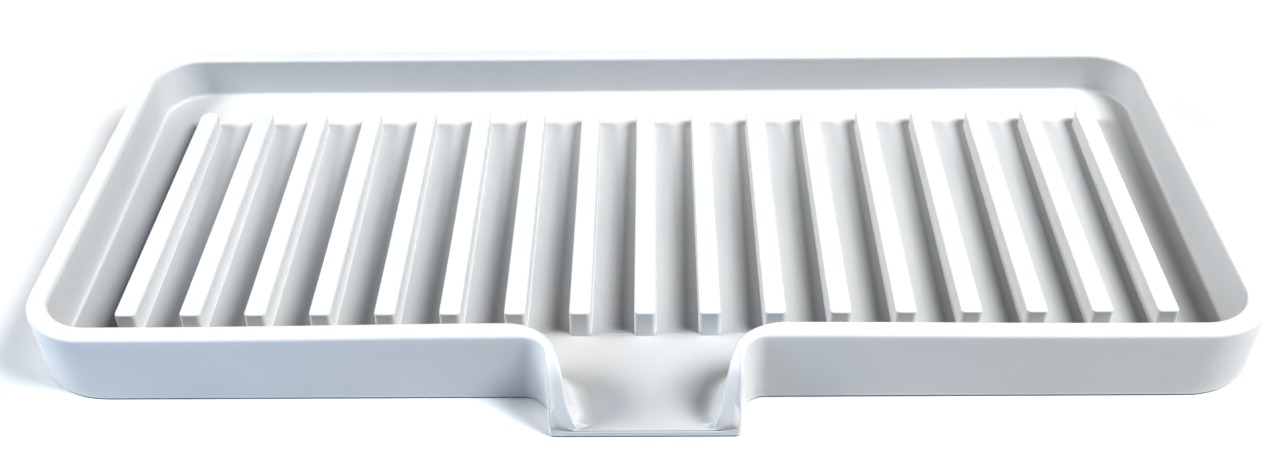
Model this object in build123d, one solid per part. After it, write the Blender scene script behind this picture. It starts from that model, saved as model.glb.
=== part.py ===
from build123d import *
import math
import os

# One-piece silicone draining tray for the edge of a sink: a shallow tray with a sloping floor,
# parallel ribs that keep soap or sponges out of the water, and an open spout in its front wall.
# +X runs along the tray, the spout points to -Y, +Z is up. The origin is on the surface that the
# tray stands on, under the middle of its outline, spout included. Sizes are millimetres.

# Tray
LENGTH = 300.0
BODY_DEPTH = 133.4
HEIGHT = 19.0
WALL = 5.3
CORNER_R = 17.7
RIM_EDGE_R = 1.0

# Floor: the height of its top face at the rear wall, the middle and the front wall
FLOOR_REAR_Z = 6.8
FLOOR_MIDDLE_Z = 4.6
FLOOR_FRONT_Z = 3.6

# Spout: its cheeks are full height at the wall and slope down to the lip
SPOUT_REACH = 13.4
SPOUT_HALF_WIDTH = 23.2
LIP_HALF_WIDTH = 22.4
LIP_CHANNEL_HALF_WIDTH = 16.6
LIP_THICKNESS = 2.0
CHEEK_TOP_Z = 3.4
CHEEK_ROLL_START = 0.5
CHEEK_ROLL_R = 9.0
CHEEK_SLOPE = 66.0
SHOULDER_X = 33.2
SHOULDER_R = 13.2
SHOULDER_TURN = 67.0
OUTER_BEND_R = 6.0

# Ribs: straight bars with square front ends, full-round rear ends and level tops
RIB_COUNT = 17
RIB_PITCH = 16.1
RIB_WIDTH = 5.4
RIB_TOP_Z = 10.7
RIB_FRONT_GAP = 13.5
RIB_REAR_GAP = 16.0
RIB_EDGE_R = 0.5
RIB_CORNER_R = 1.0

# Worked out from the sizes above
FRONT_Y = SPOUT_REACH / 2 - BODY_DEPTH / 2
REAR_Y = FRONT_Y + BODY_DEPTH
LIP_Y = FRONT_Y - SPOUT_REACH
INNER_FRONT_Y = FRONT_Y + WALL
INNER_REAR_Y = REAR_Y - WALL
MIDDLE_Y = (FRONT_Y + REAR_Y) / 2
HALF_LENGTH = LENGTH / 2
INNER_HALF_LENGTH = HALF_LENGTH - WALL
INNER_CORNER_R = CORNER_R - WALL
RIB_FRONT_Y = INNER_FRONT_Y + RIB_FRONT_GAP
RIB_REAR_Y = INNER_REAR_Y - RIB_REAR_GAP


def extruded(line, height):
    """A closed outline on the ground plane, raised to a height."""
    return extrude(make_face(line), amount=height)


def box_between(low, high):
    """A box from its lowest corner to its highest corner."""
    size = [b - a for a, b in zip(low, high)]
    return Pos(*low) * Box(*size, align=(Align.MIN, Align.MIN, Align.MIN))


def rounded_block(half_length, front_y, rear_y, radius, height):
    """An upright block with a rounded-rectangle outline."""
    outline = RectangleRounded(2 * half_length, rear_y - front_y, radius)
    return extrude(Pos(0, (front_y + rear_y) / 2) * outline, amount=height)


def floor_profile():
    """The floor's side view: level underneath, a long shallow curve falling to the front on top."""
    top = ThreePointArc(
        (0, INNER_REAR_Y, FLOOR_REAR_Z),
        (0, MIDDLE_Y, FLOOR_MIDDLE_Z),
        (0, INNER_FRONT_Y, FLOOR_FRONT_Z),
    )
    under = Polyline(top @ 1, (0, INNER_FRONT_Y, 0), (0, INNER_REAR_Y, 0), top @ 0)
    return make_face(top + under)


def floor_block():
    """The floor's curved wedge over the tray's whole length."""
    return extrude(floor_profile(), amount=HALF_LENGTH, dir=(1, 0, 0), both=True)


def tray_floor():
    """The sloping floor inside the walls."""
    inside = rounded_block(INNER_HALF_LENGTH, INNER_FRONT_Y, INNER_REAR_Y, INNER_CORNER_R, HEIGHT)
    return floor_block() & inside


def wall_ring():
    """The upright wall all round, before the spout's gap is cut, with its top edges rounded."""
    outer = rounded_block(HALF_LENGTH, FRONT_Y, REAR_Y, CORNER_R, HEIGHT)
    inner = rounded_block(INNER_HALF_LENGTH, INNER_FRONT_Y, INNER_REAR_Y, INNER_CORNER_R, HEIGHT)
    ring = outer - inner
    return fillet(ring.edges().filter_by_position(Axis.Z, HEIGHT, HEIGHT), RIM_EDGE_R)


def channel_side():
    """The plan line of the channel's right side, from the tray's front wall out to the lip."""
    bend = JernArc((SHOULDER_X, INNER_FRONT_Y), (-1, 0), SHOULDER_R, SHOULDER_TURN)
    run = Line(bend @ 1, (LIP_CHANNEL_HALF_WIDTH, LIP_Y))
    return bend + run


def slope_cutter():
    """What is cut off the cheeks: they roll over from the rim and slope down to the lip."""
    start_y = FRONT_Y - CHEEK_ROLL_START
    roll_sin = math.sin(math.radians(CHEEK_SLOPE))
    roll_cos = math.cos(math.radians(CHEEK_SLOPE))
    half_sin = math.sin(math.radians(CHEEK_SLOPE / 2))
    half_cos = math.cos(math.radians(CHEEK_SLOPE / 2))
    roll = ThreePointArc(
        (0, start_y, HEIGHT),
        (0, start_y - CHEEK_ROLL_R * half_sin, HEIGHT - CHEEK_ROLL_R * (1 - half_cos)),
        (0, start_y - CHEEK_ROLL_R * roll_sin, HEIGHT - CHEEK_ROLL_R * (1 - roll_cos)),
    )
    beyond = Polyline(
        roll @ 1,
        (0, LIP_Y, CHEEK_TOP_Z),
        (0, LIP_Y - WALL, CHEEK_TOP_Z),
        (0, LIP_Y - WALL, 2 * HEIGHT),
        (0, start_y, 2 * HEIGHT),
        roll @ 0,
    )
    return extrude(make_face(roll + beyond), amount=SHOULDER_X, dir=(1, 0, 0), both=True)


def spout_cheek_right():
    """The right cheek: the front wall's end bends forward and slopes down beside the channel."""
    inner_line = channel_side()
    lip_edge = Line(inner_line @ 1, (LIP_HALF_WIDTH, LIP_Y))
    outer_run = Line((LIP_HALF_WIDTH, LIP_Y), (SPOUT_HALF_WIDTH, FRONT_Y - OUTER_BEND_R))
    bend_centre_x = SPOUT_HALF_WIDTH + OUTER_BEND_R
    outer_bend = RadiusArc(outer_run @ 1, (bend_centre_x, FRONT_Y), OUTER_BEND_R)
    shoulder_back = Polyline(outer_bend @ 1, (SHOULDER_X, FRONT_Y), (SHOULDER_X, INNER_FRONT_Y))
    outline = inner_line + lip_edge + outer_run + outer_bend + shoulder_back
    return extruded(outline, HEIGHT) - slope_cutter()


def spout_floor():
    """The channel's floor: level at the tray, then falling in an S to the thin lip."""
    right = channel_side()
    left = mirror(right, about=Plane.YZ)
    lip = Line(right @ 1, (-LIP_CHANNEL_HALF_WIDTH, LIP_Y))
    back = Line((-SHOULDER_X, INNER_FRONT_Y), (SHOULDER_X, INNER_FRONT_Y))
    plan = extruded(right + lip + left + back, HEIGHT)
    top = Spline(
        (0, INNER_FRONT_Y, FLOOR_FRONT_Z),
        (0, LIP_Y, LIP_THICKNESS),
        tangents=[(0, -1, 0), (0, -1, 0)],
    )
    under = Polyline(top @ 1, (0, LIP_Y, 0), (0, INNER_FRONT_Y, 0), top @ 0)
    side = extrude(make_face(top + under), amount=SHOULDER_X, dir=(1, 0, 0), both=True)
    return plan & side


def rib(x):
    """One rib: it stands on the floor, square at the front and fully rounded at the rear."""
    half = RIB_WIDTH / 2
    front = Line((half, RIB_FRONT_Y), (-half, RIB_FRONT_Y))
    left = Line(front @ 1, (-half, RIB_REAR_Y - half))
    rear = RadiusArc(left @ 1, (half, RIB_REAR_Y - half), half)
    right = Line(rear @ 1, front @ 0)
    bar = extruded(front + left + rear + right, RIB_TOP_Z)
    upright = bar.edges().filter_by(Axis.Z).group_by(Axis.Y)[0]
    bar = fillet(upright, RIB_CORNER_R)
    bar = fillet(bar.edges().filter_by_position(Axis.Z, RIB_TOP_Z, RIB_TOP_Z), RIB_EDGE_R)
    return Pos(x, 0, 0) * bar - floor_block()


def wall_pieces():
    """The wall ring, shared out into its straight walls and its four corners."""
    ring = wall_ring()
    big = LENGTH
    side_x = HALF_LENGTH - CORNER_R
    front_edge = FRONT_Y + CORNER_R
    rear_edge = REAR_Y - CORNER_R
    regions = {
        "rear_wall": ((-side_x, rear_edge, 0), (side_x, big, HEIGHT)),
        "left_wall": ((-big, front_edge, 0), (-side_x, rear_edge, HEIGHT)),
        "right_wall": ((side_x, front_edge, 0), (big, rear_edge, HEIGHT)),
        "front_wall_left": ((-side_x, -big, 0), (-SHOULDER_X, front_edge, HEIGHT)),
        "front_wall_right": ((SHOULDER_X, -big, 0), (side_x, front_edge, HEIGHT)),
        "rear_left_corner": ((-big, rear_edge, 0), (-side_x, big, HEIGHT)),
        "rear_right_corner": ((side_x, rear_edge, 0), (big, big, HEIGHT)),
        "front_left_corner": ((-big, -big, 0), (-side_x, front_edge, HEIGHT)),
        "front_right_corner": ((side_x, -big, 0), (big, front_edge, HEIGHT)),
    }
    return {name: ring & box_between(low, high) for name, (low, high) in regions.items()}


def all_parts():
    """Every sub-part by its node's name."""
    parts = {"tray_floor": tray_floor(), "spout_floor": spout_floor()}
    parts.update(wall_pieces())
    cheek = spout_cheek_right()
    parts["spout_cheek_right"] = cheek
    parts["spout_cheek_left"] = mirror(cheek, about=Plane.YZ)
    first_x = -RIB_PITCH * (RIB_COUNT - 1) / 2
    for number in range(RIB_COUNT):
        parts[f"rib_{number + 1:02d}"] = rib(first_x + number * RIB_PITCH)
    return parts


os.makedirs("parts", exist_ok=True)
for node, shape in all_parts().items():
    export_step(shape, f"parts/{node}.step")
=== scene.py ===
"""A white silicone draining tray: one soft moulding with ribs on a sloping floor and a pour spout.

Everything is in metres, in the CAD model's frame: +X along the tray, the spout towards -Y, +Z up.
"""

import math

import bpy
from mathutils import Matrix, Vector


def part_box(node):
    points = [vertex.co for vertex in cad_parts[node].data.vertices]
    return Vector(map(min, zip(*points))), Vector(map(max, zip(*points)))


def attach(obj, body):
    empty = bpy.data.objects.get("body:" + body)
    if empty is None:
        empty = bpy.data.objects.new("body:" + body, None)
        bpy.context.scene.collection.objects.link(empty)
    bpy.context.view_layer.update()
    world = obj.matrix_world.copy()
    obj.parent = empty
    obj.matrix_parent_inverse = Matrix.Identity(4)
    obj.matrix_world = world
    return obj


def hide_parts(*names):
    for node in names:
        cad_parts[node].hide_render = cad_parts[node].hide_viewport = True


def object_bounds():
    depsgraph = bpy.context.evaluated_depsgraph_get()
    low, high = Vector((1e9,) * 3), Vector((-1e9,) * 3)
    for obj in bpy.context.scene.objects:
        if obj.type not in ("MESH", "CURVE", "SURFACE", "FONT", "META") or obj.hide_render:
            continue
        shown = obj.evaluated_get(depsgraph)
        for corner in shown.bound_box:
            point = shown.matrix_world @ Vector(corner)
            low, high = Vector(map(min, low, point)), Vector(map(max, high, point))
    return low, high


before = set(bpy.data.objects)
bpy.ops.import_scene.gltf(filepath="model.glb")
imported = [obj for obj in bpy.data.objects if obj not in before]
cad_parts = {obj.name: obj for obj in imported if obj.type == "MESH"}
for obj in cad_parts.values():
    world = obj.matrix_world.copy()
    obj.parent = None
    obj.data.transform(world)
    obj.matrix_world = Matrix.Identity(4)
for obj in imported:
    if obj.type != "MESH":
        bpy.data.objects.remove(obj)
cad_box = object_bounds()

MM = 0.001

# ---------------------------------------------------------------- sizes read from the frame
REAR_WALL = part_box("rear_wall")
FRONT_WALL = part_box("front_wall_right")
REAR_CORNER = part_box("rear_right_corner")
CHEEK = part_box("spout_cheek_right")
TRAY_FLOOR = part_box("tray_floor")
SPOUT_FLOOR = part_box("spout_floor")

HALF_LENGTH = cad_box[1].x
HEIGHT = REAR_WALL[1].z
REAR_Y = REAR_WALL[1].y
WALL = REAR_WALL[1].y - TRAY_FLOOR[1].y
FRONT_Y = FRONT_WALL[0].y
LIP_Y = CHEEK[0].y
CORNER_R = REAR_CORNER[1].x - REAR_CORNER[0].x
SHOULDER_X = FRONT_WALL[0].x
CHANNEL_HALF = CHEEK[0].x
FLOOR_REAR_Z = TRAY_FLOOR[1].z
FLOOR_FRONT_Z = SPOUT_FLOOR[1].z
INNER_FRONT_Y = FRONT_Y + WALL
INNER_REAR_Y = REAR_Y - WALL
MIDDLE_Y = (FRONT_Y + REAR_Y) / 2
RIB_FRONT_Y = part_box("rib_01")[0].y
RIB_REAR_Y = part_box("rib_01")[1].y

# ---------------------------------------------------------------- finer shape than the CAD's
MIDDLE_DIP = 0.6 * MM
CREASE_Y = RIB_FRONT_Y + 0.15 * MM
CREASE_STEP = 0.4 * MM
CREASE_WIDTH = 0.14 * MM
LIP_THICKNESS = 1.9 * MM
LIP_DEPTH = 1.0 * MM
LIP_HALF = 22.8 * MM
LIP_CORNER_R = 1.3 * MM
SPOUT_HALF = 23.2 * MM
BEND_R = 6.0 * MM
SHOULDER_R = 13.2 * MM
SHOULDER_TURN = 67.0
CHEEK_ROLL_START = 0.5 * MM
CHEEK_ROLL_R = 9.0 * MM
CHEEK_SLOPE = 65.5
CHEEK_FOOT_Z = 0.9 * MM
RIM_EDGE_R = 1.0 * MM
LIP_EDGE_R = 0.4 * MM
RIDGE_FOOT_R = 0.3 * MM
WALL_COVE = 1.1 * MM
CHANNEL_COVE = 7.6 * MM
FOOT_COVE = 5.9 * MM
LIP_HOOK = 2.2 * MM
BOW = 0.9 * MM
BOW_FROM = 30.0 * MM
BOW_SPREAD = 85.0 * MM
BASE_CORNER_R = 20.0 * MM
BASE_INSET = 0.3 * MM
EDGE_SMOOTHING = 40

# The foot of a cheek's inner ridge: how far outside the channel it stands and ahead of the lip's
# inner edge, and the share of the ridge that the turn on to the lip takes up
FOOT_OUT = 1.0 * MM
FOOT_AHEAD = 0.25 * MM
FOOT_TURN_SHARE = 0.22
LIP_COVE = 2.0 * MM

# The cove's start below the edge, as a share of the way in to the floor's outline, and its height
COVE_START_CHEEK = 0.07
COVE_START_WALL = 0.12
CHEEK_COVE_SHARE = 0.72
CHEEK_COVE_LIMIT = 8.5 * MM
COVE_LEAST = 0.02

# The bead round the base: (how far out, how high) from below, in millimetres
BEAD = [(-0.55, 0.0), (-0.3, 0.0), (0.0, 0.12), (0.14, 0.3), (0.14, 0.5), (0.02, 0.68), (0.0, 0.85)]
BEAD_TOP = 0.85 * MM

# Shares and angles at which the layers of the moulding are laid
WALL_SHARES = (0.15, 0.5, 0.9)
TOP_SHARES = (0.04, 0.5, 0.96)
INNER_SHARES = (0.06, 0.35, 0.65, 0.94)
EDGE_ANGLES = (0, 20, 40, 60, 80, 90)

# Spans of stations along half an outline, from the lip's middle round to the rear wall's middle
SPANS = {"lip": 14, "foot": 12, "lip_corner": 12, "cheek": 20, "bend": 24, "front": 26, "corner": 24}
FRONT_COUNT = SPANS["lip"] + SPANS["foot"] + SPANS["lip_corner"] + SPANS["cheek"]
FRONT_COUNT += SPANS["bend"] + SPANS["front"]
SIDE_COUNT = 28


def mix(a, b, t):
    return a + (b - a) * t


def smooth(t):
    t = min(max(t, 0.0), 1.0)
    return t * t * (3 - 2 * t)


# ---------------------------------------------------------------- heights over the plan
def floor_z(y):
    """The floor's top: a shallow curve falling forward, a fine step, then an S to the spout's lip."""
    u = (y - MIDDLE_Y) / (INNER_REAR_Y - MIDDLE_Y)
    z = mix(FLOOR_FRONT_Z, FLOOR_REAR_Z, (u + 1) / 2) - MIDDLE_DIP * (1 - u * u)
    if y < INNER_FRONT_Y:
        z = mix(FLOOR_FRONT_Z, LIP_THICKNESS, smooth((INNER_FRONT_Y - y) / (INNER_FRONT_Y - LIP_Y)))
    return z - CREASE_STEP * (1 - smooth((y - CREASE_Y) / CREASE_WIDTH + 0.5))


def rim_z(y):
    """The top of the wall: level, then rolling over at the spout and sloping down its cheeks."""
    ahead = FRONT_Y - CHEEK_ROLL_START - y
    slope = math.radians(CHEEK_SLOPE)
    if ahead <= 0:
        return HEIGHT
    if ahead < CHEEK_ROLL_R * math.sin(slope):
        return HEIGHT - CHEEK_ROLL_R + math.sqrt(CHEEK_ROLL_R**2 - ahead**2)
    roll_end = HEIGHT - CHEEK_ROLL_R * (1 - math.cos(slope))
    past = ahead - CHEEK_ROLL_R * math.sin(slope)
    reach = FRONT_Y - CHEEK_ROLL_START - LIP_Y - CHEEK_ROLL_R * math.sin(slope)
    left_over = roll_end - reach * math.tan(slope) - CHEEK_FOOT_Z
    return roll_end - past * math.tan(slope) - left_over * (past / reach) ** 2


def rim_rise(y):
    """How steeply the wall's top climbs towards the rear."""
    step = 0.05 * MM
    return (rim_z(y + step) - rim_z(y - step)) / (2 * step)


def edge_depths(outline, radius_of):
    """How far straight down the rounding reaches at each station, evened out along the edge."""
    normals = normals_of(outline)
    depths = []
    for i, p in enumerate(outline):
        rise = rim_rise(p.y) * normals[i].x * WALLNESS[i]
        depths.append(radius_of(i) * math.sqrt(1 + rise * rise))
    for _ in range(EDGE_SMOOTHING):
        count = len(depths)
        depths = [(depths[i - 1] + 2 * depths[i] + depths[(i + 1) % count]) / 4 for i in range(count)]
    return depths


# ---------------------------------------------------------------- plan outlines
def line(a, b, count):
    return [Vector(a).lerp(Vector(b), i / count) for i in range(count)]


def arc(centre, radii, angles, count):
    """Points of an arc whose radius may change along it."""
    points = []
    for i in range(count):
        radius = mix(radii[0], radii[1], smooth(i / count))
        angle = math.radians(mix(angles[0], angles[1], i / count))
        points.append(Vector((centre[0] + radius * math.cos(angle), centre[1] + radius * math.sin(angle))))
    return points


def outer_front(inset):
    """The outside of the lip, cheek, bend and front wall."""
    corner = (LIP_HALF - inset - LIP_CORNER_R, LIP_Y + inset + LIP_CORNER_R)
    bend = (SPOUT_HALF + BEND_R, FRONT_Y - BEND_R)
    corner_side = (LIP_HALF - inset, corner[1])
    corner_x = HALF_LENGTH - CORNER_R
    lip_y = LIP_Y + inset
    points = line((0, lip_y), (CHANNEL_HALF, lip_y), SPANS["lip"])
    points += line((CHANNEL_HALF, lip_y), (corner[0], lip_y), SPANS["foot"])
    points += arc(corner, (LIP_CORNER_R, LIP_CORNER_R), (-90, 0), SPANS["lip_corner"])
    points += line(corner_side, (SPOUT_HALF - inset, bend[1]), SPANS["cheek"])
    points += arc(bend, (BEND_R + inset, BEND_R + inset), (180, 90), SPANS["bend"])
    points += line((bend[0], FRONT_Y + inset), (corner_x, FRONT_Y + inset), SPANS["front"])
    return points


def bezier(a, b, c, count):
    """A smooth turn from a to c round the corner b."""
    points = []
    for i in range(count):
        t = i / count
        points.append(Vector(a).lerp(Vector(b), t).lerp(Vector(b).lerp(Vector(c), t), t))
    return points


def inner_front(wall_inset, cheek_inset, foot_inset, lip_inset):
    """The inside of the lip, cheek, shoulder and front wall, moved inward by the insets."""
    turn = math.radians(SHOULDER_TURN)
    shoulder = (SHOULDER_X, INNER_FRONT_Y - SHOULDER_R)
    reach = SHOULDER_R + cheek_inset
    top = (shoulder[0] - reach * math.sin(turn), shoulder[1] + reach * math.cos(turn))
    lip_y = LIP_Y + LIP_DEPTH + lip_inset
    foot = (CHANNEL_HALF + FOOT_OUT - foot_inset, lip_y - FOOT_AHEAD)
    lip_end = (foot[0] - LIP_HOOK, lip_y)
    first = Vector(foot).lerp(Vector(top), FOOT_TURN_SHARE)
    radii = (reach, SHOULDER_R + wall_inset)
    wall_y = INNER_FRONT_Y + wall_inset
    points = line((0, lip_y), lip_end, SPANS["lip"])
    points += bezier(lip_end, foot, first, SPANS["foot"] + SPANS["lip_corner"])
    points += line(first, top, SPANS["cheek"])
    points += arc(shoulder, radii, (90 + SHOULDER_TURN, 90), SPANS["bend"])
    points += line((SHOULDER_X, wall_y), (HALF_LENGTH - CORNER_R, wall_y), SPANS["front"])
    return points


def side_fractions():
    """Where the stations lie along the straight side: close together at the floor's fine step."""
    low = INNER_FRONT_Y + CORNER_R - WALL
    high = INNER_REAR_Y - CORNER_R + WALL
    step = CREASE_WIDTH / 2
    close = [low, CREASE_Y - 4 * step, CREASE_Y - step, CREASE_Y, CREASE_Y + step, CREASE_Y + 4 * step]
    rest = SIDE_COUNT - len(close)
    stations = close + [mix(close[-1], high, (i + 1) / (rest + 1)) for i in range(rest)]
    return [(y - low) / (high - low) for y in stations]


def around(front, inset, radius, rear_x):
    """Half an outline: its front part, then the corner, side, rear corner and rear wall."""
    half_length = HALF_LENGTH - inset
    x = half_length - radius
    low = FRONT_Y + inset + radius
    high = REAR_Y - inset - radius
    shift = x / (HALF_LENGTH - CORNER_R)
    points = list(front)
    points += arc((x, low), (radius, radius), (-90, 0), SPANS["corner"])
    points += [Vector((half_length, mix(low, high, f))) for f in side_fractions()]
    points += arc((x, high), (radius, radius), (0, 90), SPANS["corner"])
    points += [Vector((rx * shift, REAR_Y - inset)) for rx in rear_x]
    return points


def bowed(outline):
    """The front wall's top leans back a little beside the spout, as the soft moulding relaxes."""
    leaned = []
    for p in outline:
        front = smooth((MIDDLE_Y - p.y) / (20 * MM))
        near = 1 - smooth((abs(p.x) - BOW_FROM) / BOW_SPREAD)
        leaned.append(Vector((p.x, p.y + BOW * near * front * rim_z(p.y) / HEIGHT)))
    return leaned


def closed(half):
    """The whole outline from its right half."""
    return half + [Vector((-p.x, p.y)) for p in reversed(half[1:-1])]


FLOOR_EDGE_FRONT = inner_front(WALL_COVE, CHANNEL_COVE, FOOT_COVE, LIP_COVE)
REAR_X = [HALF_LENGTH - CORNER_R] + [p.x for p in reversed(FLOOR_EDGE_FRONT)]
COVE_R = CORNER_R - WALL - WALL_COVE
BASE_FRONT = outer_front(BASE_INSET)

TOP_OUTLINE = bowed(closed(around(outer_front(0), 0, CORNER_R, REAR_X)))
BASE_OUTLINE = closed(around(BASE_FRONT, BASE_INSET, BASE_CORNER_R, REAR_X))
INNER_OUTLINE = bowed(closed(around(inner_front(0, 0, 0, 0), WALL, CORNER_R - WALL, REAR_X)))
FLOOR_OUTLINE = closed(around(FLOOR_EDGE_FRONT, WALL + WALL_COVE, COVE_R, REAR_X))
STATIONS = len(TOP_OUTLINE)


def normals_of(outline):
    """The way out of an outline at each of its stations."""
    found = []
    for i in range(len(outline)):
        along = outline[(i + 1) % len(outline)] - outline[i - 1]
        found.append(Vector((along.y, -along.x)).normalized())
    return found


def station_weight(i, start, end):
    """0 before the station start and 1 after end, counted from the lip's middle either way."""
    steps = min(i, STATIONS - i)
    return smooth((steps - start) / (end - start))


# Where the feet and bends lie, and how far before the bend a ridge is full, in stations
RIDGE_LEAD = 6
FOOT_START = SPANS["lip"]
FOOT_END = FOOT_START + SPANS["foot"]
BEND_START = FOOT_END + SPANS["lip_corner"] + SPANS["cheek"]
BEND_END = BEND_START + SPANS["bend"]
WALLNESS = [station_weight(i, FOOT_START, FOOT_END) for i in range(STATIONS)]
RIDGENESS = [station_weight(i, FOOT_END, BEND_START - RIDGE_LEAD) for i in range(STATIONS)]
STRAIGHTNESS = [station_weight(i, BEND_START, BEND_END) for i in range(STATIONS)]


def top_z(i, y):
    """The height of the moulding's edge at a station: the lip's floor, or the wall's top."""
    return mix(floor_z(y), rim_z(y), WALLNESS[i])


def outer_edge_radius(i):
    return mix(LIP_EDGE_R, RIM_EDGE_R, RIDGENESS[i])


def inner_edge_radius(i):
    return mix(RIDGE_FOOT_R, RIM_EDGE_R, RIDGENESS[i]) * WALLNESS[i]


OUTER_DEPTHS = edge_depths(TOP_OUTLINE, outer_edge_radius)
INNER_DEPTHS = edge_depths(INNER_OUTLINE, inner_edge_radius)


# ---------------------------------------------------------------- the body's layers, from below
def level_layers():
    """The outside up to its rounded top edge: a fine bead at the base, then the drafted wall."""
    base_normals = normals_of(BASE_OUTLINE)
    layers = []
    for out, z in BEAD:
        shifted = [p + n * out * MM for p, n in zip(BASE_OUTLINE, base_normals)]
        layers.append([(p.x, p.y, z * MM) for p in shifted])
    for share in WALL_SHARES:
        layer = []
        for i in range(STATIONS):
            end = top_z(i, TOP_OUTLINE[i].y) - OUTER_DEPTHS[i]
            z = mix(BEAD_TOP, end, share)
            p = BASE_OUTLINE[i].lerp(TOP_OUTLINE[i], z / HEIGHT)
            layer.append((p.x, p.y, z))
        layers.append(layer)
    return layers


def outer_edge_layers():
    """The rounding from the outside on to the wall's top."""
    normals = normals_of(TOP_OUTLINE)
    layers = []
    for angle in EDGE_ANGLES:
        turn = math.radians(angle)
        layer = []
        for i in range(STATIONS):
            radius = outer_edge_radius(i)
            p = TOP_OUTLINE[i] - normals[i] * radius * (1 - math.cos(turn))
            z = top_z(i, p.y) - OUTER_DEPTHS[i] * (1 - math.sin(turn))
            q = BASE_OUTLINE[i].lerp(TOP_OUTLINE[i], z / HEIGHT) - TOP_OUTLINE[i]
            layer.append((p.x + q.x, p.y + q.y, z))
        layers.append(layer)
    return layers


def top_layers():
    """The wall's flat top, between its two roundings."""
    outer_normals = normals_of(TOP_OUTLINE)
    inner_normals = normals_of(INNER_OUTLINE)
    layers = []
    for share in TOP_SHARES:
        layer = []
        for i in range(STATIONS):
            start = TOP_OUTLINE[i] - outer_normals[i] * outer_edge_radius(i)
            end = INNER_OUTLINE[i] + inner_normals[i] * inner_edge_radius(i)
            p = start.lerp(end, share)
            layer.append((p.x, p.y, top_z(i, p.y)))
        layers.append(layer)
    return layers


def inner_edge_layers():
    """The rounding from the wall's top down on to its inner face."""
    normals = normals_of(INNER_OUTLINE)
    layers = []
    for angle in EDGE_ANGLES:
        turn = math.radians(angle)
        layer = []
        for i in range(STATIONS):
            radius = inner_edge_radius(i)
            p = INNER_OUTLINE[i] + normals[i] * radius * (1 - math.sin(turn))
            drop = INNER_DEPTHS[i] * (1 - math.cos(turn))
            layer.append((p.x, p.y, top_z(i, p.y) - drop))
        layers.append(layer)
    return layers


def inner_face_layers(edge):
    """The inner face from the rounded edge down to the cove, and the cove down to the floor."""
    layers = []
    for share in INNER_SHARES:
        layer = []
        for i in range(STATIONS):
            foot = cove_point(i, 0.0)
            layer.append(Vector(edge[i]).lerp(Vector(foot), share))
        layers.append(layer)
    for turn in range(0, 91, 10):
        layers.append([cove_point(i, math.radians(turn)) for i in range(STATIONS)])
    return layers


def cove_point(i, turn):
    """A point of the cove: turn is 0 where it leaves the wall, and a right angle at the floor."""
    top = INNER_OUTLINE[i]
    end = FLOOR_OUTLINE[i]
    start = mix(COVE_START_CHEEK, COVE_START_WALL, STRAIGHTNESS[i])
    share = mix(start, 1.0, 1 - math.cos(turn))
    p = top.lerp(end, share)
    depth = top_z(i, top.y) - floor_z(end.y)
    cheek_height = min(CHEEK_COVE_SHARE * depth, CHEEK_COVE_LIMIT)
    height = mix(cheek_height, WALL_COVE, STRAIGHTNESS[i]) * min(1.0, WALLNESS[i] + COVE_LEAST)
    return (p.x, p.y, floor_z(p.y) + height * (1 - math.sin(turn)))


# ---------------------------------------------------------------- filling a ring with a grid
def grid_ring(ring, rows):
    """Splits a closed ring of indices into the front, right, rear and left sides of a grid."""
    half = SPANS["corner"] // 2
    reach = FRONT_COUNT + half
    front = [ring[i % STATIONS] for i in range(-reach, reach + 1)]
    right = [ring[reach + k] for k in range(rows + 1)]
    left = [ring[-reach - k] for k in range(rows + 1)]
    rear = [ring[(reach + rows + k) % STATIONS] for k in range(2 * reach + 1)]
    return front, right, list(reversed(rear)), left


def fill_ring(vertices, faces, ring, height, upward):
    """Fills the ring with a grid whose rows run straight across the tray."""
    rows = SIDE_COUNT + SPANS["corner"]
    front, right, rear, left = grid_ring(ring, rows)
    columns = len(front) - 1
    wide = vertices[right[0]][0]
    release = SPANS["corner"] // 2 + 1
    table = [front]
    for k in range(1, rows):
        row_y = vertices[right[k]][1]
        pull_front = max(0.0, 1 - k / release)
        pull_rear = max(0.0, 1 - (rows - k) / release)
        row = [left[k]]
        for c in range(1, columns):
            x = vertices[front[c]][0] * vertices[right[k]][0] / wide
            y = row_y + pull_front * (vertices[front[c]][1] - vertices[front[0]][1])
            y += pull_rear * (vertices[rear[c]][1] - vertices[rear[0]][1])
            row.append(len(vertices))
            vertices.append((x, y, height(y)))
        row.append(right[k])
        table.append(row)
    table.append(rear)
    for lower, upper in zip(table, table[1:]):
        for c in range(columns):
            face = (lower[c], lower[c + 1], upper[c + 1], upper[c])
            faces.append(face if upward else face[::-1])


def add_mesh(name, vertices, faces, material):
    """A smooth-shaded mesh of the given vertices and faces."""
    mesh = bpy.data.meshes.new(name)
    mesh.from_pydata([tuple(v) for v in vertices], [], faces)
    mesh.validate()
    mesh.update()
    mesh.shade_smooth()
    mesh.materials.append(material)
    piece = bpy.data.objects.new(name, mesh)
    bpy.context.scene.collection.objects.link(piece)
    return piece


def band_faces(layers, count):
    """The faces that join each layer of count points to the next."""
    faces = []
    for k in range(layers - 1):
        low = k * count
        high = low + count
        for i in range(count):
            j = (i + 1) % count
            faces.append((low + i, low + j, high + j, high + i))
    return faces


def cap_faces(start, count, downward):
    """Closes a symmetrical ring with faces that run from side to side."""
    faces = []
    for i in range(count // 2):
        right = [start + i, start + i + 1]
        left = [start + (count - i - 1) % count, start + (count - i) % count]
        face = right + left
        face = [v for n, v in enumerate(face) if v not in face[:n]]
        if len(face) > 2:
            faces.append(tuple(reversed(face)) if downward else tuple(face))
    return faces


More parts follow.
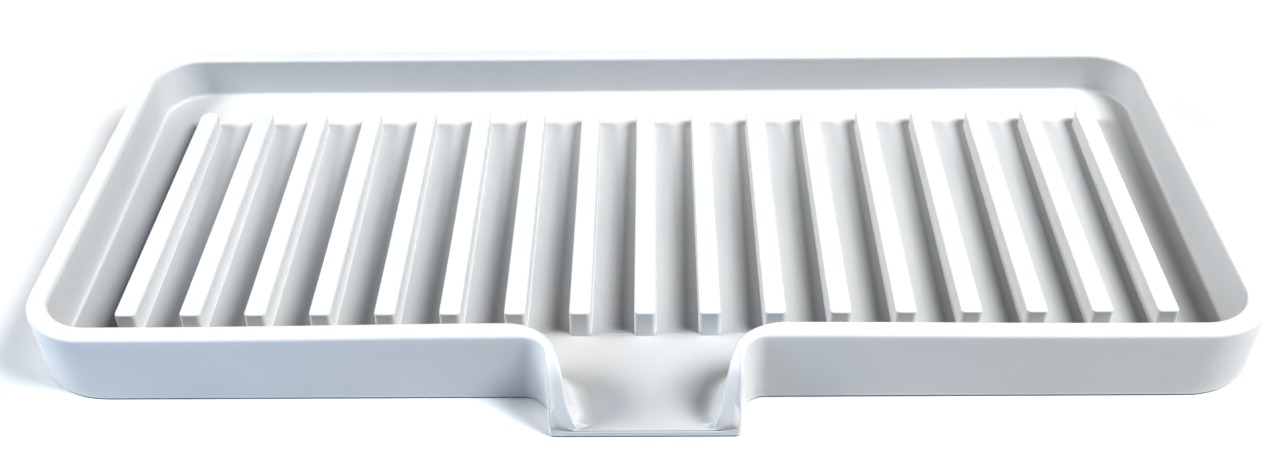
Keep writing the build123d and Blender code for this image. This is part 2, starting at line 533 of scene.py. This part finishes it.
def make_body(material):
    """The whole tray but its ribs, as one continuous moulding."""
    edge = inner_edge_layers()
    layers = level_layers() + outer_edge_layers() + top_layers() + edge
    layers += inner_face_layers(edge[-1])
    vertices = [tuple(p) for layer in layers for p in layer]
    faces = band_faces(len(layers), STATIONS)
    first = list(range(STATIONS))
    last = [(len(layers) - 1) * STATIONS + i for i in range(STATIONS)]
    fill_ring(vertices, faces, last, floor_z, True)
    fill_ring(vertices, faces, first, lambda y: 0.0, False)
    body = add_mesh("tray_body", vertices, faces, material)
    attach(body, "root")
    walls = ["rear_wall", "left_wall", "right_wall", "front_wall_left", "front_wall_right"]
    corners = ["rear_left_corner", "rear_right_corner", "front_left_corner", "front_right_corner"]
    spout = ["tray_floor", "spout_floor", "spout_cheek_left", "spout_cheek_right"]
    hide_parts(*walls, *corners, *spout)


# ---------------------------------------------------------------- ribs
RIB_CORNER_R = 1.2 * MM
RIB_EDGE_R = 0.45 * MM
RIB_FOOT_R = 0.1 * MM
RIB_SINK = 0.3 * MM
RIB_COUNT = 17
RIB_EDGE_ANGLES = (0, 22.5, 45, 67.5, 90)
# In edge or foot radii: where the side ends, where the top starts, and the foot's bevel
RIB_SIDE_END = 1.25
RIB_TOP_START = 1.3
RIB_FOOT_BEVEL = 0.35


def rib_half(width, front_y, rear_y, grow):
    """Half a rib's outline from its front's middle to its rounded rear end's middle."""
    half = width / 2 + grow
    corner = RIB_CORNER_R + grow
    front = front_y - grow
    rear_centre = (0, rear_y - width / 2)
    points = line((0, front), (half - corner, front), 3)
    points += arc((half - corner, front + corner), (corner, corner), (-90, 0), 6)
    points += line((half, front + corner), (half, rear_centre[1]), 40)
    points += arc(rear_centre, (half, half), (0, 90), 14)
    points.append(Vector((0, rear_y + grow)))
    return points


def rib_profile():
    """(how far out, height above the floor, height below the top) of a rib's section, upward."""
    bevel = RIB_FOOT_BEVEL * RIB_FOOT_R
    foot = [(RIB_FOOT_R, -RIB_SINK, None), (RIB_FOOT_R, 0.0, None)]
    foot += [(bevel, bevel, None), (0.0, RIB_FOOT_R, None)]
    edge = [(0.0, None, RIB_SIDE_END * RIB_EDGE_R)]
    for angle in RIB_EDGE_ANGLES:
        turn = math.radians(angle)
        edge.append((-RIB_EDGE_R * (1 - math.cos(turn)), None, RIB_EDGE_R * (1 - math.sin(turn))))
    edge.append((-RIB_TOP_START * RIB_EDGE_R, None, 0.0))
    return foot + edge


def make_rib(number, material):
    """One rib, sunk a little into the sloping floor and rounded at its rear end."""
    node = "rib_%02d" % number
    low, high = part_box(node)
    middle_x = (low.x + high.x) / 2
    vertices = []
    count = 0
    for grow, above, below in rib_profile():
        ring = closed(rib_half(high.x - low.x, low.y, high.y, grow))
        count = len(ring)
        for p in ring:
            z = floor_z(p.y) + above if below is None else high.z - below
            vertices.append((middle_x + p.x, p.y, z))
    layers = len(vertices) // count
    faces = band_faces(layers, count)
    faces += cap_faces(0, count, True)
    faces += cap_faces((layers - 1) * count, count, False)
    rib = add_mesh("drain_" + node, vertices, faces, material)
    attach(rib, "root")
    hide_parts(node)


# ---------------------------------------------------------------- materials
# Painted shade that greys the low floor towards the front, standing in for the shade in the ribs' deep
# channels: how upright its faces are, its heights, and what it keeps in front
SHADE_FACING = (0.75, 0.95)
SHADE_HEIGHTS = (9.0 * MM, 7.6 * MM)
SHADE_KEEPS = 0.82


def link(tree, source, output, target, socket):
    """Joins one node's named output to another's named input."""
    tree.links.new(source.outputs[output], target.inputs[socket])


def noise_node(tree, place, scale, detail, roughness):
    """Noise laid out in the piece's own coordinates."""
    node = tree.nodes.new("ShaderNodeTexNoise")
    node.inputs["Scale"].default_value = scale
    node.inputs["Detail"].default_value = detail
    node.inputs["Roughness"].default_value = roughness
    link(tree, place, "Object", node, "Vector")
    return node


def ramp_node(tree, source, stops):
    """A colour ramp over the source's Fac, from two (position, colour) stops."""
    node = tree.nodes.new("ShaderNodeValToRGB")
    elements = node.color_ramp.elements
    for element, (position, colour) in zip(elements, stops):
        element.position = position
        element.color = (*colour, 1)
    link(tree, source, "Fac", node, "Fac")
    return node


def ranged(tree, source, socket, start, end):
    """A node that runs from 0 where the socket's value is start to 1 where it is end."""
    node = tree.nodes.new("ShaderNodeMapRange")
    node.inputs["From Min"].default_value = start
    node.inputs["From Max"].default_value = end
    link(tree, source, socket, node, "Value")
    return node


def product(tree, first, second, socket):
    """A node that multiplies the first node's Result by the second node's socket."""
    node = tree.nodes.new("ShaderNodeMath")
    node.operation = "MULTIPLY"
    tree.links.new(first.outputs["Result"], node.inputs[0])
    tree.links.new(second.outputs[socket], node.inputs[1])
    return node


def painted_floor_shade(tree, place, colour):
    """The colour darkened with painted shade on the tray's low, upward-facing floor, most of all towards
    the front.
    """
    where = tree.nodes.new("ShaderNodeSeparateXYZ")
    link(tree, place, "Object", where, "Vector")
    geometry = tree.nodes.new("ShaderNodeNewGeometry")
    facing = tree.nodes.new("ShaderNodeSeparateXYZ")
    link(tree, geometry, "Normal", facing, "Vector")
    upward = ranged(tree, facing, "Z", *SHADE_FACING)
    low = ranged(tree, where, "Z", *SHADE_HEIGHTS)
    forward = ranged(tree, where, "Y", RIB_REAR_Y, RIB_FRONT_Y)
    # painted shade: strongest where the floor faces up, lies low and lies towards the front
    shade_amount = product(tree, forward, product(tree, low, upward, "Result"), "Value")
    keep = ranged(tree, shade_amount, "Value", 0.0, 1.0)
    keep.inputs["To Min"].default_value = 1.0
    keep.inputs["To Max"].default_value = SHADE_KEEPS
    scaled = tree.nodes.new("ShaderNodeVectorMath")
    scaled.operation = "SCALE"
    link(tree, colour, "Color", scaled, "Vector")
    link(tree, keep, "Result", scaled, "Scale")
    return scaled


def add_satin(tree, place, shader):
    """Roughness that wanders a little over the surface."""
    satin = noise_node(tree, place, 140.0, 4.0, 0.6)
    roughness = tree.nodes.new("ShaderNodeMapRange")
    roughness.inputs["To Min"].default_value = 0.42
    roughness.inputs["To Max"].default_value = 0.56
    link(tree, satin, "Fac", roughness, "Value")
    link(tree, roughness, "Result", shader, "Roughness")


def bump_node(tree, source, strength, distance):
    """Shallow relief from the source's Fac."""
    node = tree.nodes.new("ShaderNodeBump")
    node.inputs["Strength"].default_value = strength
    node.inputs["Distance"].default_value = distance
    link(tree, source, "Fac", node, "Height")
    return node


def add_relief(tree, place, shader):
    """A fine moulded grain under a slow ripple."""
    grain = bump_node(tree, noise_node(tree, place, 2600.0, 3.0, 0.5), 0.05, 0.08 * MM)
    ripple = bump_node(tree, noise_node(tree, place, 55.0, 2.0, 0.4), 0.12, 0.4 * MM)
    link(tree, grain, "Normal", ripple, "Normal")
    link(tree, ripple, "Normal", shader, "Normal")


def silicone():
    """White silicone rubber: satin, a little light passing into it, a fine moulded texture, and painted
    shade greying its low floor towards the front.
    """
    material = bpy.data.materials.new("white_silicone")
    material.use_nodes = True
    tree = material.node_tree
    shader = tree.nodes["Principled BSDF"]
    shader.inputs["Subsurface Weight"].default_value = 0.08
    shader.inputs["Subsurface Radius"].default_value = (1.0, 0.9, 0.85)
    shader.inputs["Subsurface Scale"].default_value = 0.0015
    shader.inputs["IOR"].default_value = 1.41
    shader.inputs["Specular IOR Level"].default_value = 0.4
    shader.inputs["Sheen Weight"].default_value = 0.04
    shader.inputs["Sheen Roughness"].default_value = 0.6
    place = tree.nodes.new("ShaderNodeTexCoord")
    clouds = noise_node(tree, place, 22.0, 3.0, 0.55)
    colour = ramp_node(tree, clouds, [(0.3, (0.605, 0.608, 0.608)), (0.7, (0.635, 0.637, 0.636))])
    # the base colour carries painted shade on the low floor towards the front
    link(tree, painted_floor_shade(tree, place, colour), "Vector", shader, "Base Color")
    add_satin(tree, place, shader)
    add_relief(tree, place, shader)
    return material


def paper():
    """The pale floor: matt white with the faintest mottling."""
    material = bpy.data.materials.new("pale_floor")
    material.use_nodes = True
    tree = material.node_tree
    shader = tree.nodes["Principled BSDF"]
    shader.inputs["Roughness"].default_value = 0.9
    shader.inputs["Specular IOR Level"].default_value = 0.1
    place = tree.nodes.new("ShaderNodeTexCoord")
    mottle = noise_node(tree, place, 9.0, 4.0, 0.6)
    colour = ramp_node(tree, mottle, [(0.3, (0.70, 0.70, 0.70)), (0.7, (0.72, 0.72, 0.72))])
    link(tree, colour, "Color", shader, "Base Color")
    return material


# ---------------------------------------------------------------- the studio
FLOOR_HALF = 3.0
FLOOR_DROP = 0.1 * MM
SURROUND = 0.07
GAMMA = 0.64

CAMERA_PLACE = (0.0026, -0.3242, 0.2492)
CAMERA_PITCH = 0.64617
CAMERA_YAW = -0.0126026
CAMERA_ROLL = -0.0127786
CAMERA_LENS = 42.2
CAMERA_SENSOR = 36.0
CAMERA_NEAR = 0.01


def make_floor():
    """A plain pale sheet, just under the tray."""
    signs = [(-1, -1), (1, -1), (1, 1), (-1, 1)]
    corners = [(sx * FLOOR_HALF, sy * FLOOR_HALF, -FLOOR_DROP) for sx, sy in signs]
    mesh = bpy.data.meshes.new("studio_floor")
    mesh.from_pydata(corners, [], [(0, 1, 2, 3)])
    mesh.materials.append(paper())
    floor = bpy.data.objects.new("studio_floor", mesh)
    bpy.context.scene.collection.objects.link(floor)


def softbox(name, place, target, size, power, colour):
    """A rectangular soft light that the camera doesn't see."""
    data = bpy.data.lights.new(name, "AREA")
    data.shape = "RECTANGLE"
    data.size = size[0]
    data.size_y = size[1]
    data.energy = power
    data.color = colour
    lamp = bpy.data.objects.new(name, data)
    lamp.location = place
    lamp.visible_camera = False
    lamp.rotation_euler = (Vector(target) - Vector(place)).to_track_quat("-Z", "Y").to_euler()
    bpy.context.scene.collection.objects.link(lamp)


def make_lights():
    """A high key on the right, a lower one on the left, a cool glow low in front, and a dim surround."""
    middle = (0, 0, 0)
    near_white = (0.975, 0.988, 1.0)
    warm_white = (1.0, 0.988, 0.968)
    sky_blue = (0.36, 0.64, 1.0)
    softbox("key_right", (0.74, -0.22, 0.94), middle, (0.56, 0.56), 21.6, near_white)
    softbox("key_left", (-1.00, -0.02, 0.70), middle, (0.46, 0.46), 14.4, warm_white)
    softbox("cool_left", (-0.21, -0.26, 0.14), (-0.12, -0.06, 0), (0.16, 0.12), 0.24, sky_blue)
    world = bpy.data.worlds.new("studio")
    world.use_nodes = True
    background = world.node_tree.nodes["Background"]
    background.inputs["Color"].default_value = (1.0, 1.0, 1.0, 1)
    background.inputs["Strength"].default_value = SURROUND
    bpy.context.scene.world = world


def make_camera():
    """The viewpoint: in front, 37 degrees down, turned and rolled less than a degree."""
    pitch = CAMERA_PITCH
    yaw = CAMERA_YAW
    roll = CAMERA_ROLL
    ahead = Vector((math.sin(yaw) * math.cos(pitch), math.cos(yaw) * math.cos(pitch), -math.sin(pitch)))
    level = Vector((math.cos(yaw), -math.sin(yaw), 0))
    above = level.cross(ahead)
    right = math.cos(roll) * level + math.sin(roll) * above
    up = -math.sin(roll) * level + math.cos(roll) * above
    axes = Matrix((right, up, -ahead)).transposed()
    data = bpy.data.cameras.new("camera")
    data.sensor_width = CAMERA_SENSOR
    data.lens = CAMERA_LENS
    data.clip_start = CAMERA_NEAR
    camera = bpy.data.objects.new("camera", data)
    camera.matrix_world = Matrix.Translation(CAMERA_PLACE) @ axes.to_4x4()
    bpy.context.scene.collection.objects.link(camera)
    bpy.context.scene.camera = camera


material = silicone()
make_body(material)
for number in range(1, RIB_COUNT + 1):
    make_rib(number, material)
make_floor()
make_lights()
make_camera()
bpy.context.scene.view_settings.view_transform = "Standard"
bpy.context.scene.view_settings.gamma = GAMMA
